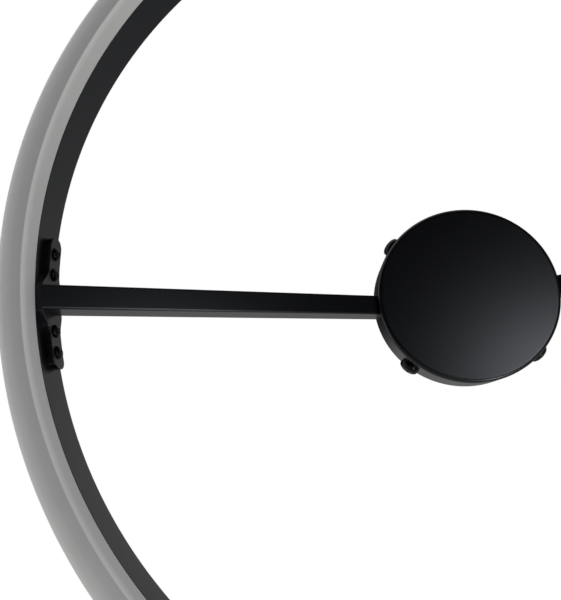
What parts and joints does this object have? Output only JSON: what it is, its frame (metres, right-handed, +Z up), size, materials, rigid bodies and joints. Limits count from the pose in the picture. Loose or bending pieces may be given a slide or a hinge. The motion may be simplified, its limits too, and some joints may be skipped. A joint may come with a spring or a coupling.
{
  "type": "ring wall light",
  "caption": "Ring-shaped LED wall light: a large thin luminous hoop held in front of a small round wall canopy by two sloping arms.",
  "frame": {"origin": "middle of the wall bracket's back face, on the ring's axis, in the plane of the wall", "axes": "+Y points into the wall and is the ring's axis, +X points right as seen from the room, +Z is up"},
  "size_m": [0.6, 0.143, 0.6],
  "materials": {
    "black_powder_coat": "fine matt powder coat",
    "black_screw": "satin black oxide",
    "opal_silicone": "satin translucent",
    "zinc_plated_steel": "bright zinc",
    "white_circuit_film": "matt",
    "led_phosphor": "gloss",
    "white_abs": "moulded satin",
    "terminal_polyamide": "moulded satin",
    "circuit_board": "satin",
    "component_plastic": "satin",
    "black_rubber": "matt",
    "wire_pvc": "satin"
  },
  "bodies": {
    "lamp": {"arm_left": "black_powder_coat", "arm_right": "black_powder_coat", "arm_root_plate_left": "black_powder_coat", "arm_root_plate_right": "black_powder_coat", "bracket_screws_left": "black_screw", "bracket_screws_right": "black_screw", "canopy_shell": "black_powder_coat", "diffuser": "opal_silicone", "driver_board": "circuit_board", "driver_components": "component_plastic", "driver_lid": "white_abs", "driver_pad": "black_rubber", "driver_tray": "white_abs", "earth_screw": "zinc_plated_steel", "earth_wire": "wire_pvc", "lead_bush": "black_rubber", "led_chips": "led_phosphor", "led_strip": "white_circuit_film", "nut_bar_left": "zinc_plated_steel", "nut_bar_right": "zinc_plated_steel", "output_lead": "wire_pvc", "ring_bracket_left": "black_powder_coat", "ring_bracket_right": "black_powder_coat", "ring_channel": "black_powder_coat", "ring_splice": "zinc_plated_steel", "splice_set_screws": "zinc_plated_steel", "supply_grommet": "black_rubber", "supply_wires": "wire_pvc", "terminal_block": "terminal_polyamide", "terminal_screws": "zinc_plated_steel", "wall_bracket": "zinc_plated_steel", "weld_nuts": "zinc_plated_steel"},
    "canopy_screw_1": {"canopy_screw_1": "black_screw"},
    "canopy_screw_2": {"canopy_screw_2": "black_screw"},
    "canopy_screw_3": {"canopy_screw_3": "black_screw"},
    "canopy_screw_4": {"canopy_screw_4": "black_screw"}
  },
  "joints": [
    {"name": "canopy_screw_1_out", "type": "slide", "parent": "lamp", "child": "canopy_screw_1", "axis": [-0.7071, 0, 0.7071], "range_m": [0, 0.012]},
    {"name": "canopy_screw_2_out", "type": "slide", "parent": "lamp", "child": "canopy_screw_2", "axis": [-0.7071, 0, -0.7071], "range_m": [0, 0.012]},
    {"name": "canopy_screw_3_out", "type": "slide", "parent": "lamp", "child": "canopy_screw_3", "axis": [0.7071, 0, -0.7071], "range_m": [0, 0.012]},
    {"name": "canopy_screw_4_out", "type": "slide", "parent": "lamp", "child": "canopy_screw_4", "axis": [0.7071, 0, 0.7071], "range_m": [0, 0.012]}
  ]
}
